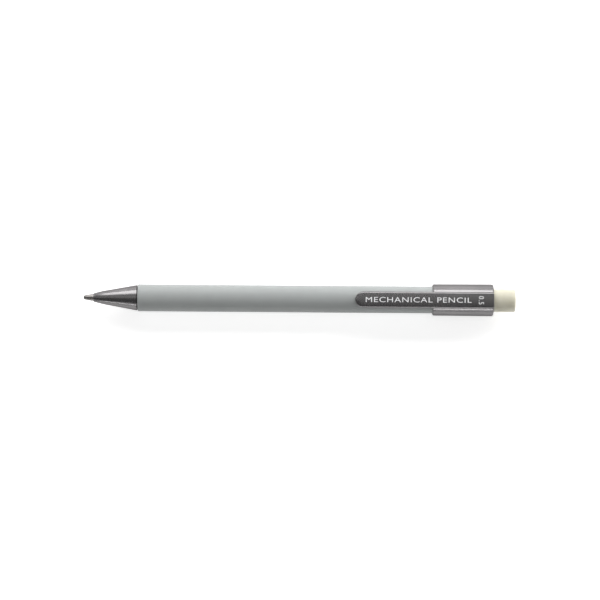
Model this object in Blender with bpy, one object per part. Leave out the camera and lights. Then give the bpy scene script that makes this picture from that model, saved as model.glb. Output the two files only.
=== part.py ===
"""Push-button mechanical pencil for 0.5 mm leads, as the separate pieces it comes apart into.

The pencil lies along X with its clip up. Every length below is in millimetres, measured along the
pencil's own axis from the mouth of the nozzle (station 0) to the end of the eraser. All pieces hang
from one empty, pencil_axis, which lifts that axis so that the collar rests on the ground plane.
"""

import math

import bmesh
import bpy
from mathutils import Vector

MM = 0.001

# Overall sizes
LENGTH = 142.0
BARREL_D = 8.9
COLLAR_LENGTH = 20.0
ERASER_SHOWN = 7.3
NOZZLE_SHOWN = 3.2
CONE_LENGTH = 14.4

# Fits: radial clearance of sliding pieces, the gap where two pieces butt, and the gap before the barrel
SLIP = 0.05
BUTT = 0.05
LEAD_SLIP = 0.03
JOINT_GAP = 0.25

# Travels of the moving pieces, in mm and degrees
BUTTON_TRAVEL = 3.2
RING_TRAVEL = 0.8
NOZZLE_TRAVEL = 3.0
CUSHION_TRAVEL = 0.6
JAW_SWING = 1.4

# Leads
LEAD_D = 0.56
LEAD_LENGTH = 60.0
LEAD_RECESS = 0.15
SPARE_LEADS = 3
SPARE_LEAD_SPREAD = 44.0
SPARE_LEAD_GAP = 3.0

# Nozzle and the rubber retainer in its cup
NOZZLE_MOUTH_WALL = 0.165
NOZZLE_NOSE_LENGTH = 2.6
NOZZLE_NOSE_POWER = 0.6
NOZZLE_NOSE_CROWDING = 1.6
NOZZLE_STEM_D = 2.12
NOZZLE_GUIDE = 3.7
NOZZLE_FLANGE_T = 1.0
NOZZLE_FLANGE_RIM = 0.3
NOZZLE_CUP_WALL = 0.37
NOZZLE_CUP_LENGTH = 2.1
RETAINER_D = 1.9
RETAINER_LENGTH = 1.6

# Chuck
CHUCK_RUN_OUT = 0.4
JAW_NOSE_LENGTH = 1.3
JAW_NOSE_DROP = 0.65
JAW_NOSE_CHAMFER = 0.4
JAW_LAND = 0.7
JAW_TAPER_LENGTH = 3.5
JAW_HEAD_RISE = 0.35
JAW_ARM_D = 2.6
JAW_LENGTH = 13.4
JAW_GRIP_LENGTH = 4.4
JAW_BORE_STEP = 0.6
JAW_RELIEF_D = 1.1
JAW_SLIT = 0.24
JAW_HINGE_R = 1.1
STEM_LENGTH = 7.0
STEM_D = 2.7
STEM_BORE_D = 1.0
TAIL_LENGTH = 4.0
TAIL_STEP = 0.1

# Clutch ring and sleeve
RING_SEAT = 1.6
RING_LENGTH = 2.4
RING_WALL = 0.78
RING_GRIP = 0.03
RING_CHAMFER = 0.15
LIP_T = 1.2
LIP_CLEARANCE = 0.3
SLEEVE_FRONT_WALL = 0.4
SLEEVE_REAR_WALL = 0.4
SLEEVE_FLANGE_T = 1.2
SLEEVE_OVERLAP = 7.0

# Springs
SPRING_CLEARANCE = 0.12
SPRING_CLOSED_PITCH = 1.08
SPRING_POINTS_PER_TURN = 12
CHUCK_SPRING_WIRE = 0.36
CHUCK_SPRING_TURNS = 8.5
CUSHION_SPRING_WIRE = 0.3
CUSHION_SPRING_TURNS = 6.0
CUSHION_SPRING_LENGTH = 10.3

# Front cone, its spigot and its thread
CONE_STEP = 0.25
CONE_NOSE_D = 2.72
CONE_NOSE_EDGE = 0.18
CONE_NOSE_SAG = 0.25
CONE_NOSE_LENGTH = 4.2
SPIGOT_LENGTH = 9.2
SPIGOT_WALL = 0.4
THREAD_DEPTH = 0.22
THREAD_PITCH = 1.2
THREAD_TURNS = 5
THREAD_START = 1.2

# Lead tank
TANK_D = 5.0
TANK_WALL = 0.55
TANK_THROAT_D = 1.6
TANK_THROAT_LENGTH = 0.3
TANK_FUNNEL = 2.0

# Eraser holder and eraser
CUP_LENGTH = 4.9
CUP_FLOOR = 1.2
CUP_WALL = 0.85
CUP_REAR_GAP = 0.6
HOLDER_PLUG_LENGTH = 5.0
HOLDER_PLUG_WALL = 0.75
HOLDER_CHAMFER = 0.3
ERASER_LEDGE = 0.1
ERASER_EDGE = 0.4

# Barrel
BARREL_BORE_EASE = 0.2
BARREL_REAR_WALL = 0.65
BARREL_EDGE = 0.35
SNAP_GROOVE = 0.1
SNAP_WIDTH = 0.8
SNAP_STATION = 3.4

# Collar and pocket clip
COLLAR_WALL = 0.75
COLLAR_SOCKET = 8.8
COLLAR_TAPER = 0.08
COLLAR_FRONT_EDGE = 0.45
COLLAR_REAR_EDGE = 0.6
CLIP_ARM = 25.5
CLIP_WIDTH = 5.3
CLIP_RISE = 1.25
CLIP_T = 1.3
CLIP_NOSE_FLAT = 0.35
CLIP_EDGE = 0.35
CLIP_RIB_END = 0.12
CLIP_ROOT_GAP = 0.06
GRIP_FROM_END = 3.6
GRIP_RADIUS = 1.5
GRIP_INSET = 1.05
GRIP_BARREL_GAP = 0.15

# Facets round a turned piece
FINE = 40
MEDIUM = 32
SMALL = 24
TINY = 16

# Radii, worked outwards from the lead
lead_bore_r = LEAD_D / 2 + LEAD_SLIP
nozzle_mouth_r = lead_bore_r + NOZZLE_MOUTH_WALL
nozzle_stem_r = NOZZLE_STEM_D / 2
nozzle_bore_r = nozzle_stem_r + SLIP
nozzle_cup_r = RETAINER_D / 2 + LEAD_SLIP + NOZZLE_CUP_WALL
nozzle_flange_r = nozzle_cup_r + NOZZLE_FLANGE_RIM
flange_chamber_r = nozzle_flange_r + 2 * SLIP
jaw_arm_r = JAW_ARM_D / 2
jaw_head_r = jaw_arm_r + JAW_HEAD_RISE
jaw_opening = JAW_LENGTH * math.sin(math.radians(JAW_SWING))
chuck_chamber_r = jaw_head_r + jaw_opening + 3 * SLIP
ring_bore_r = jaw_head_r - JAW_HEAD_RISE * RING_SEAT / JAW_TAPER_LENGTH + RING_GRIP
ring_r = ring_bore_r + RING_WALL
ring_housing_r = ring_r + 2 * SLIP
spring_chamber_r = ring_housing_r - SLIP
lip_bore_r = jaw_arm_r + LIP_CLEARANCE
chuck_spring_r = spring_chamber_r - SPRING_CLEARANCE - CHUCK_SPRING_WIRE / 2
sleeve_front_r = ring_housing_r + SLEEVE_FRONT_WALL
sleeve_socket_r = sleeve_front_r + SLIP
tank_r = TANK_D / 2
tank_bore_r = tank_r - TANK_WALL
tank_guide_r = tank_r + 2 * SLIP
tail_r = STEM_D / 2 - TAIL_STEP
tail_bore_r = tail_r + SLIP / 2
sleeve_rear_r = tank_guide_r + SLEEVE_REAR_WALL
sleeve_guide_r = sleeve_rear_r + 2 * SLIP
front_bore_r = max(
    sleeve_socket_r + SPIGOT_WALL + THREAD_DEPTH + SLIP,
    sleeve_rear_r + CUSHION_SPRING_WIRE + 2 * SPRING_CLEARANCE,
)
spigot_r = front_bore_r - SLIP - THREAD_DEPTH
sleeve_flange_r = front_bore_r - 2 * SLIP
cushion_spring_r = front_bore_r - SPRING_CLEARANCE - CUSHION_SPRING_WIRE / 2
barrel_bore_r = sleeve_guide_r + BARREL_BORE_EASE

# Radii, worked inwards and outwards from the barrel's outside
barrel_r = BARREL_D / 2
barrel_edge = min(BARREL_EDGE, (barrel_r - front_bore_r) / 2)
cone_rear_r = barrel_r - CONE_STEP
cone_slope = (cone_rear_r - CONE_NOSE_D / 2 - CONE_NOSE_SAG) / CONE_LENGTH
cup_slide_r = barrel_r - BARREL_REAR_WALL
cup_r = cup_slide_r - 2 * SLIP
cup_bore_r = cup_r - CUP_WALL
plug_r = tank_bore_r - SLIP
holder_bore_r = plug_r - HOLDER_PLUG_WALL
eraser_r = cup_r + ERASER_LEDGE
eraser_plug_r = cup_bore_r - SLIP
collar_socket_r = barrel_r + SLIP
collar_bore_r = eraser_r + 3 * SLIP
collar_r = max(collar_socket_r, collar_bore_r) + COLLAR_WALL
clip_top = collar_r + CLIP_RISE
clip_bottom = clip_top - CLIP_T

# Stations along the axis, worked out from the front
cone_front = NOZZLE_SHOWN
cone_rear = cone_front + CONE_LENGTH
barrel_front = cone_rear + JOINT_GAP
spigot_rear = cone_rear + SPIGOT_LENGTH
nozzle_flange = cone_front + NOZZLE_GUIDE
nozzle_rear = nozzle_flange + NOZZLE_FLANGE_T + NOZZLE_CUP_LENGTH
chuck_front = nozzle_rear + NOZZLE_TRAVEL + BUTTON_TRAVEL + CHUCK_RUN_OUT
jaw_land = chuck_front + JAW_NOSE_LENGTH
jaw_taper = jaw_land + JAW_LAND
jaw_arm = jaw_taper + JAW_TAPER_LENGTH
jaw_root = chuck_front + JAW_LENGTH
ring_front = jaw_taper + RING_SEAT
ring_rear = ring_front + RING_LENGTH
ring_stop = ring_front - RING_TRAVEL - BUTT
sleeve_front = ring_stop + 2 * BUTT
lip_front = ring_rear + BUTT
lip_rear = lip_front + LIP_T
sleeve_flange = spigot_rear + BUTT
sleeve_flange_rear = sleeve_flange + SLEEVE_FLANGE_T
cushion_seat = sleeve_flange_rear + CUSHION_SPRING_LENGTH + 2 * BUTT
tank_front = jaw_root + STEM_LENGTH
tank_throat = tank_front + TAIL_LENGTH + 4 * BUTT
tank_funnel = tank_throat + TANK_THROAT_LENGTH
sleeve_widening = tank_front - BUTTON_TRAVEL - 4 * SLIP
sleeve_rear = tank_front + SLEEVE_OVERLAP
guide_rear = sleeve_rear + CUSHION_TRAVEL + 10 * BUTT

# Stations worked out from the rear
collar_rear = LENGTH - ERASER_SHOWN
collar_front = collar_rear - COLLAR_LENGTH
barrel_rear = collar_front + COLLAR_SOCKET
cup_front = barrel_rear + CUP_REAR_GAP
cup_rear = cup_front + CUP_LENGTH
cup_floor = cup_front + CUP_FLOOR
cup_stop = cup_front - BUTTON_TRAVEL - 2 * BUTT
tank_rear = cup_front - BUTT
plug_front = tank_rear - HOLDER_PLUG_LENGTH
clip_end = collar_front - CLIP_ARM
snap_front = collar_front + SNAP_STATION


def clear_scene():
    for old in list(bpy.data.objects):
        bpy.data.objects.remove(old, do_unlink=True)


def make_material(name, colour, roughness, metallic=0.0):
    made = bpy.data.materials.new(name)
    made.use_nodes = True
    shader = made.node_tree.nodes["Principled BSDF"]
    shader.inputs["Base Color"].default_value = (*colour, 1.0)
    shader.inputs["Roughness"].default_value = roughness
    shader.inputs["Metallic"].default_value = metallic
    return made


def make_object(name, shape, finish, origin):
    """A named object from a bmesh built in pencil coordinates, with its own origin at a point in mm."""
    at = Vector(origin) * MM
    bmesh.ops.translate(shape, verts=shape.verts, vec=-at)
    bmesh.ops.recalc_face_normals(shape, faces=shape.faces)
    mesh = bpy.data.meshes.new(name)
    shape.to_mesh(mesh)
    shape.free()
    mesh.materials.append(finish)
    mesh.shade_smooth()
    mesh.set_sharp_from_angle(angle=math.radians(35))
    made = bpy.data.objects.new(name, mesh)
    bpy.context.scene.collection.objects.link(made)
    made.parent = pencil_axis
    made.location = at
    return made


def thread_wave(x, angle):
    """Height of a single-start thread, from 0 at the root to 1 at the crest."""
    return 0.5 + 0.5 * math.cos(2 * math.pi * x / THREAD_PITCH - angle)


def turned_shape(outline, segments):
    """A closed outline of (x, r) points, turned about the pencil's axis.

    A point may carry a third number, the height of the thread at that station.
    """
    shape = bmesh.new()
    rings = []
    for point in outline:
        x, r = point[0], point[1]
        height = point[2] if len(point) == 3 else 0.0
        if r <= 0:
            rings.append([shape.verts.new((x * MM, 0, 0))])
            continue
        ring = []
        for i in range(segments):
            angle = 2 * math.pi * i / segments
            reach = (r + height * thread_wave(x, angle)) * MM
            ring.append(shape.verts.new((x * MM, reach * math.sin(angle), reach * math.cos(angle))))
        rings.append(ring)
    for first, second in zip(rings, rings[1:] + rings[:1]):
        if len(first) == 1 and len(second) == 1:
            continue
        for i in range(segments):
            j = (i + 1) % segments
            near = first[i % len(first)], first[j % len(first)]
            far = second[j % len(second)], second[i % len(second)]
            shape.faces.new(list(dict.fromkeys(near + far)))
    return shape


def turned(name, outline, finish, segments):
    start = min(point[0] for point in outline)
    return make_object(name, turned_shape(outline, segments), finish, (start, 0, 0))


def fillet(x, r, radius, towards_x, towards_r, steps=3):
    """Points of a quarter round at the corner (x, r), which faces towards_x and towards_r (+1 or -1)."""
    points = []
    for i in range(steps + 1):
        turn = math.pi / 2 * i / steps
        points.append((
            x - towards_x * radius * (1 - math.cos(turn)),
            r - towards_r * radius * (1 - math.sin(turn)),
        ))
    return points


def cone_radius(x):
    """The cone is straight, and droops a little towards its nose."""
    straight = cone_rear_r - cone_slope * (cone_rear - x)
    into_nose = max(0.0, (cone_front + CONE_NOSE_LENGTH - x) / CONE_NOSE_LENGTH)
    return straight - CONE_NOSE_SAG * into_nose**2


def front_cone():
    """The screw-off front: a hollow cone with a threaded spigot, and inside it the clutch ring's stop."""
    nose_end = cone_front + CONE_NOSE_EDGE
    bend = [(x, cone_radius(x)) for x in (cone_front + CONE_NOSE_LENGTH * i / 4 for i in range(1, 5))]
    rows = 5 * THREAD_TURNS
    thread = []
    for i in range(rows + 1):
        x = cone_rear + THREAD_START + THREAD_PITCH * THREAD_TURNS * i / rows
        run_in = min(1.0, i / 5, (rows - i) / 5)
        thread.append((x, spigot_r, THREAD_DEPTH * run_in))
    chamber_front = chuck_front - BUTTON_TRAVEL
    outline = [
        (cone_front, cone_radius(cone_front) - CONE_NOSE_EDGE),
        (nose_end, cone_radius(nose_end)),
        *bend,
        (cone_rear, cone_rear_r),
        (cone_rear, spigot_r),
        *thread,
        (spigot_rear, spigot_r),
        (spigot_rear, sleeve_socket_r),
        (ring_stop, sleeve_socket_r),
        (ring_stop, chuck_chamber_r),
        (chamber_front, chuck_chamber_r),
        (chamber_front, flange_chamber_r),
        (nozzle_flange - BUTT, flange_chamber_r),
        (nozzle_flange - BUTT, nozzle_bore_r),
        (cone_front, nozzle_bore_r),
    ]
    return turned("front_cone", outline, metallised_plastic, MEDIUM)


def nozzle():
    """The metal lead guide: a bullet-shaped nose, a stem, a stop flange, and a cup for the retainer."""
    steps = 7
    nose = []
    for i in range(steps + 1):
        share = (i / steps) ** NOZZLE_NOSE_CROWDING
        swell = (nozzle_stem_r - nozzle_mouth_r) * share**NOZZLE_NOSE_POWER
        nose.append((NOZZLE_NOSE_LENGTH * share, nozzle_mouth_r + swell))
    flange_rear = nozzle_flange + NOZZLE_FLANGE_T
    retainer_seat = nozzle_rear - RETAINER_LENGTH - 4 * BUTT
    outline = nose + [
        (nozzle_flange, nozzle_stem_r),
        (nozzle_flange, nozzle_flange_r),
        (flange_rear, nozzle_flange_r),
        (flange_rear, nozzle_cup_r),
        (nozzle_rear, nozzle_cup_r),
        (nozzle_rear, RETAINER_D / 2 + LEAD_SLIP),
        (retainer_seat, RETAINER_D / 2 + LEAD_SLIP),
        (retainer_seat, lead_bore_r),
        (0, lead_bore_r),
    ]
    return turned("nozzle", outline, bright_metal, SMALL)


def lead_retainer():
    """The rubber bush in the nozzle's cup that keeps the lead from falling out."""
    rear = nozzle_rear - 2 * BUTT
    front = rear - RETAINER_LENGTH
    outline = [
        (front, RETAINER_D / 2),
        (rear, RETAINER_D / 2),
        (rear, RETAINER_D / 3),
        (rear - RETAINER_LENGTH / 3, lead_bore_r - LEAD_SLIP / 3),
        (front, lead_bore_r - LEAD_SLIP / 3),
    ]
    return turned("lead_retainer", outline, black_rubber, TINY)


def lead_stick(name, front, length, across=0.0, up=0.0):
    """One straight polymer lead, set off from the pencil's axis where it is a spare."""
    outline = [(0, 0), (0, LEAD_D / 2), (length, LEAD_D / 2), (length, 0)]
    made = make_object(name, turned_shape(outline, TINY), graphite, (0, 0, 0))
    made.location = Vector((front, across, up)) * MM
    return made


def spare_leads():
    """Spare leads lying side by side along the bottom of the tank."""
    front = tank_funnel + TANK_FUNNEL + SPARE_LEAD_GAP
    length = min(LEAD_LENGTH, plug_front - SPARE_LEAD_GAP - front)
    reach = tank_bore_r - LEAD_D / 2 - SLIP
    for i in range(SPARE_LEADS):
        lean = math.radians(SPARE_LEAD_SPREAD * (i - (SPARE_LEADS - 1) / 2))
        lead_stick(f"spare_lead_{i + 1}", front, length, reach * math.sin(lean), -reach * math.cos(lean))


def chuck_jaws():
    """Three brass jaws round the lead. Each one turns about its root, where the real collet flexes."""
    grip_rear = chuck_front + JAW_GRIP_LENGTH
    outline = [
        (chuck_front, jaw_head_r - JAW_NOSE_DROP),
        (jaw_land, jaw_head_r),
        (jaw_taper, jaw_head_r),
        (jaw_arm, jaw_arm_r),
        (jaw_root, jaw_arm_r),
        (jaw_root, JAW_RELIEF_D / 2),
        (grip_rear + JAW_BORE_STEP, JAW_RELIEF_D / 2),
        (grip_rear, lead_bore_r - LEAD_SLIP / 3),
        (chuck_front + JAW_NOSE_CHAMFER, lead_bore_r - LEAD_SLIP / 3),
        (chuck_front, lead_bore_r + JAW_NOSE_CHAMFER / 3),
    ]
    steps = 8
    shape = bmesh.new()
    rows = []
    for x, r in outline:
        half = math.pi / 3 - math.asin(JAW_SLIT / 2 / r)
        row = []
        for i in range(steps + 1):
            angle = half * (2 * i / steps - 1)
            row.append(shape.verts.new((x * MM, r * MM * math.sin(angle), r * MM * math.cos(angle))))
        rows.append(row)
    for first, second in zip(rows, rows[1:] + rows[:1]):
        for i in range(steps):
            shape.faces.new((first[i], first[i + 1], second[i + 1], second[i]))
    shape.faces.new([row[0] for row in rows])
    shape.faces.new([row[-1] for row in reversed(rows)])
    first_jaw = make_object("chuck_jaw_1", shape, brass, (jaw_root, 0, JAW_HINGE_R))
    for number in (1, 2, 3):
        jaw = first_jaw
        if number > 1:
            jaw = bpy.data.objects.new(f"chuck_jaw_{number}", first_jaw.data)
            bpy.context.scene.collection.objects.link(jaw)
            jaw.parent = pencil_axis
        turn = 2 * math.pi / 3 * (number - 1)
        jaw.rotation_euler = (turn, 0, 0)
        jaw.location = Vector((jaw_root, -JAW_HINGE_R * math.sin(turn), JAW_HINGE_R * math.cos(turn))) * MM


def chuck_stem():
    """The solid rear of the brass chuck: a tube whose tail is pushed into the lead tank."""
    front = jaw_root + BUTT
    shoulder = tank_front - BUTT
    rear = tank_front + TAIL_LENGTH
    mouth_r = (tail_r + STEM_BORE_D / 2) / 2
    outline = [
        (front, STEM_D / 2),
        (shoulder, STEM_D / 2),
        (shoulder, tail_r),
        (rear - 2 * TAIL_STEP, tail_r),
        (rear, tail_r - TAIL_STEP),
        (rear, mouth_r),
        (rear - 2 * (mouth_r - STEM_BORE_D / 2), STEM_BORE_D / 2),
        (front, STEM_BORE_D / 2),
    ]
    return turned("chuck_stem", outline, brass, SMALL)


def clutch_ring():
    """The brass ring that wedges the jaws shut and lets them open when it meets its stop."""
    outline = [
        (ring_front, ring_bore_r + RING_CHAMFER / 2),
        (ring_front, ring_r - RING_CHAMFER),
        (ring_front + RING_CHAMFER, ring_r),
        (ring_rear - RING_CHAMFER, ring_r),
        (ring_rear, ring_r - RING_CHAMFER),
        (ring_rear, ring_bore_r + RING_CHAMFER),
        (ring_rear - RING_CHAMFER, ring_bore_r),
        (ring_front + RING_CHAMFER, ring_bore_r),
    ]
    return turned("clutch_ring", outline, brass, MEDIUM)


def clutch_sleeve():
    """The mechanism's plastic housing: ring seat in front, spring chamber, and a guide for the tank."""
    outline = [
        (sleeve_front, ring_housing_r),
        (sleeve_front, sleeve_front_r),
        (sleeve_flange, sleeve_front_r),
        (sleeve_flange, sleeve_flange_r),
        (sleeve_flange_rear, sleeve_flange_r),
        (sleeve_flange_rear, sleeve_rear_r),
        (sleeve_rear, sleeve_rear_r),
        (sleeve_rear, tank_guide_r),
        (sleeve_widening, tank_guide_r),
        (sleeve_widening, spring_chamber_r),
        (lip_rear, spring_chamber_r),
        (lip_rear, lip_bore_r),
        (lip_front, lip_bore_r),
        (lip_front, ring_housing_r),
    ]
    return turned("clutch_sleeve", outline, white_plastic, MEDIUM)


def coil_spring(name, front, rear, radius, wire, turns):
    """A compression spring with one closed turn at each end."""
    count = int(turns * SPRING_POINTS_PER_TURN) + 1
    start = front + BUTT + wire / 2
    run = rear - front - 2 * BUTT - wire
    closed = wire * SPRING_CLOSED_PITCH
    curve = bpy.data.curves.new(name, "CURVE")
    curve.dimensions = "3D"
    curve.bevel_depth = wire / 2 * MM
    curve.bevel_resolution = 1
    curve.use_fill_caps = True
    spline = curve.splines.new("POLY")
    spline.points.add(count - 1)
    open_turns = turns - 2
    for i in range(count):
        turn = turns * i / (count - 1)
        lead_in = min(turn, 1.0) + max(0.0, turn - (turns - 1))
        opened = min(max(turn - 1.0, 0.0), open_turns)
        x = start + closed * lead_in + (run - 2 * closed) * opened / open_turns
        angle = 2 * math.pi * turn
        spline.points[i].co = (
            (x - start) * MM,
            radius * MM * math.sin(angle),
            radius * MM * math.cos(angle),
            1,
        )
    curve.materials.append(spring_steel)
    made = bpy.data.objects.new(name, curve)
    bpy.context.scene.collection.objects.link(made)
    made.parent = pencil_axis
    made.location = (start * MM, 0, 0)
    return made


def lead_tank():
    """The long tube that holds the spare leads and carries the push from the eraser to the chuck."""
    outline = [
        (tank_front, tail_bore_r),
        (tank_front, tank_r),
        (tank_rear, tank_r),
        (tank_rear, tank_bore_r),
        (tank_funnel + TANK_FUNNEL, tank_bore_r),
        (tank_funnel, TANK_THROAT_D / 2),
        (tank_throat, TANK_THROAT_D / 2),
        (tank_throat, tail_bore_r),
    ]
    return turned("lead_tank", outline, clear_plastic, SMALL)


def eraser_holder():
    """The cup that the eraser plugs into, with a hole through which spare leads are loaded."""
    outline = [
        (plug_front, holder_bore_r),
        (plug_front, plug_r - HOLDER_CHAMFER),
        (plug_front + HOLDER_CHAMFER, plug_r),
        (cup_front, plug_r),
        (cup_front, cup_r - HOLDER_CHAMFER),
        (cup_front + HOLDER_CHAMFER, cup_r),
        (cup_rear, cup_r),
        (cup_rear, cup_bore_r),
        (cup_floor, cup_bore_r),
        (cup_floor, holder_bore_r + 2 * HOLDER_CHAMFER),
        (cup_front, holder_bore_r),
    ]
    return turned("eraser_holder", outline, dark_plastic, MEDIUM)


def eraser():
    """A large round eraser, stepped down at the front to plug into its holder."""
    plug_end = cup_floor + 2 * BUTT
    shoulder = cup_rear + BUTT
    outline = [
        (plug_end, 0),
        (plug_end, eraser_plug_r - HOLDER_CHAMFER),
        (plug_end + HOLDER_CHAMFER, eraser_plug_r),
        (shoulder, eraser_plug_r),
        (shoulder, eraser_r),
        *reversed(fillet(LENGTH, eraser_r, ERASER_EDGE, 1, 1)),
        (LENGTH, 0),
    ]
    return turned("eraser", outline, eraser_white, FINE)


def barrel():
    """The rubber-coated tube that everything else is fitted into."""
    outline = [
        *fillet(barrel_front, barrel_r, barrel_edge, -1, 1),
        (snap_front, barrel_r),
        (snap_front, barrel_r - SNAP_GROOVE),
        (snap_front + SNAP_WIDTH, barrel_r - SNAP_GROOVE),
        (snap_front + SNAP_WIDTH, barrel_r),
        (barrel_rear, barrel_r),
        (barrel_rear, cup_slide_r),
        (cup_stop, cup_slide_r),
        (cup_stop, barrel_bore_r),
        (guide_rear, barrel_bore_r),
        (guide_rear, sleeve_guide_r),
        (cushion_seat, sleeve_guide_r),
        (cushion_seat, front_bore_r),
        (barrel_front, front_bore_r),
    ]
    return turned("barrel", outline, soft_grey, FINE)


def clip_bar(front, rear, bottom, top, rounded):
    """A flat bar of the clip's width with eased upper edges; rounded in plan at its front if asked."""
    half = CLIP_WIDTH / 2
    corner = half - CLIP_NOSE_FLAT if rounded else 0.0
    steps = 6 if rounded else 0
    side = []
    for i in range(steps + 1):
        turn = math.pi / 2 * i / max(steps, 1)
        side.append((front + corner * (1 - math.sin(turn)), half - corner * (1 - math.cos(turn))))
    plan = [(rear, half), *side, *((x, -y) for x, y in reversed(side)), (rear, -half)]
    shape = bmesh.new()
    base = shape.faces.new([shape.verts.new((x * MM, y * MM, bottom * MM)) for x, y in plan])
    raised = bmesh.ops.extrude_face_region(shape, geom=[base])
    upper = [item for item in raised["geom"] if isinstance(item, bmesh.types.BMVert)]
    bmesh.ops.translate(shape, verts=upper, vec=(0, 0, (top - bottom) * MM))
    square_ends = (rear,) if rounded else (front, rear)
    eased = []
    for edge in shape.edges:
        if not set(edge.verts) <= set(upper):
            continue
        if any(all(abs(v.co.x - end * MM) < 1e-7 for v in edge.verts) for end in square_ends):
            continue
        eased.append(edge)
    bmesh.ops.bevel(shape, geom=eased, offset=CLIP_EDGE * MM, segments=3, profile=0.5, affect="EDGES")
    return shape


def grip_bump_shape():
    """A short bar across the arm's underside, round below, whose lowest line nearly touches the barrel."""
    steps = 12
    centre_x = clip_end + GRIP_FROM_END
    centre_z = barrel_r + GRIP_BARREL_GAP + GRIP_RADIUS
    half = CLIP_WIDTH / 2 - GRIP_INSET
    inside_arm = clip_top - CLIP_T / 2
    profile = []
    for i in range(steps + 1):
        turn = math.pi * (i / steps - 0.5)
        profile.append((centre_x + GRIP_RADIUS * math.sin(turn), centre_z - GRIP_RADIUS * math.cos(turn)))
    profile = [(x, min(z, inside_arm)) for x, z in profile]
    shape = bmesh.new()
    near, far = (
        [shape.verts.new((x * MM, y * MM, z * MM)) for x, z in profile]
        for y in (-half, half)
    )
    shape.faces.new(near)
    shape.faces.new(list(reversed(far)))
    for i in range(steps + 1):
        j = (i + 1) % (steps + 1)
        shape.faces.new((near[i], far[i], far[j], near[j]))
    return shape


def helper(name, shape):
    """A cutter or an addition that a Boolean reads; it isn't a piece."""
    made = make_object(name, shape, dark_plastic, (0, 0, 0))
    made.hide_render = True
    made.display_type = "WIRE"
    return made


def combine(target, operation, other):
    step = target.modifiers.new(other.name, "BOOLEAN")
    step.operation = operation
    step.solver = "EXACT"
    step.object = other


def clip_collar():
    """The collar pushed over the barrel's rear end, with the clip's bar running along its top."""
    outline = [
        (collar_front, 0),
        *fillet(collar_front, collar_r - COLLAR_TAPER, COLLAR_FRONT_EDGE, -1, 1),
        *reversed(fillet(collar_rear, collar_r, COLLAR_REAR_EDGE, 1, 1)),
        (collar_rear, 0),
    ]
    collar = turned("clip_collar", outline, metallised_plastic, FINE)
    rib_front = collar_front + CLIP_RIB_END
    rib_rear = collar_rear - CLIP_RIB_END
    rib_base = collar_socket_r - SLIP
    combine(collar, "UNION", helper("rib", clip_bar(rib_front, rib_rear, rib_base, clip_top, False)))
    bead_front = snap_front + 2 * SLIP
    bead_rear = snap_front + SNAP_WIDTH - 2 * SLIP
    bead_r = barrel_r - SNAP_GROOVE / 2
    shoulder = barrel_rear + 2 * BUTT
    bore = [
        (collar_front - 1, 0),
        (collar_front - 1, collar_socket_r),
        (bead_front, collar_socket_r),
        (bead_front, bead_r),
        (bead_rear, bead_r),
        (bead_rear, collar_socket_r),
        (shoulder, collar_socket_r),
        (shoulder, collar_bore_r),
        (collar_rear + 1, collar_bore_r),
        (collar_rear + 1, 0),
    ]
    combine(collar, "DIFFERENCE", helper("collar_bore", turned_shape(bore, FINE)))
    return collar


def pocket_clip():
    """The springy arm of the clip, with the bump under its free end that grips a pocket's edge."""
    root = collar_front + CLIP_RIB_END - CLIP_ROOT_GAP
    bar = clip_bar(clip_end, root, clip_bottom, clip_top, True)
    arm = make_object("pocket_clip", bar, metallised_plastic, (root, 0, clip_top))
    combine(arm, "UNION", helper("grip_bump", grip_bump_shape()))
    return arm


clear_scene()
pencil_axis = bpy.data.objects.new("pencil_axis", None)
bpy.context.scene.collection.objects.link(pencil_axis)
pencil_axis.location = Vector((-LENGTH / 2, 0, collar_r)) * MM

soft_grey = make_material("soft_grey", (0.36, 0.38, 0.38), 0.55)
metallised_plastic = make_material("metallised_plastic", (0.16, 0.15, 0.155), 0.35, 0.8)
bright_metal = make_material("bright_metal", (0.62, 0.6, 0.57), 0.25, 1.0)
brass = make_material("brass", (0.72, 0.5, 0.22), 0.3, 1.0)
spring_steel = make_material("spring_steel", (0.55, 0.55, 0.55), 0.3, 1.0)
black_rubber = make_material("black_rubber", (0.02, 0.02, 0.02), 0.8)
graphite = make_material("graphite", (0.03, 0.03, 0.035), 0.45)
white_plastic = make_material("white_plastic", (0.7, 0.7, 0.68), 0.45)
clear_plastic = make_material("clear_plastic", (0.75, 0.77, 0.77), 0.3)
dark_plastic = make_material("dark_plastic", (0.08, 0.08, 0.085), 0.5)
eraser_white = make_material("eraser_white", (0.76, 0.73, 0.62), 0.8)

front_cone()
nozzle()
lead_retainer()
lead_stick("lead", LEAD_RECESS, LEAD_LENGTH)
spare_leads()
chuck_jaws()
chuck_stem()
clutch_ring()
clutch_sleeve()
coil_spring("chuck_spring", lip_rear, tank_front, chuck_spring_r, CHUCK_SPRING_WIRE, CHUCK_SPRING_TURNS)
coil_spring(
    "cushion_spring",
    sleeve_flange_rear,
    cushion_seat,
    cushion_spring_r,
    CUSHION_SPRING_WIRE,
    CUSHION_SPRING_TURNS,
)
lead_tank()
eraser_holder()
eraser()
barrel()
clip_collar()
pocket_clip()
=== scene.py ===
import math

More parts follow.
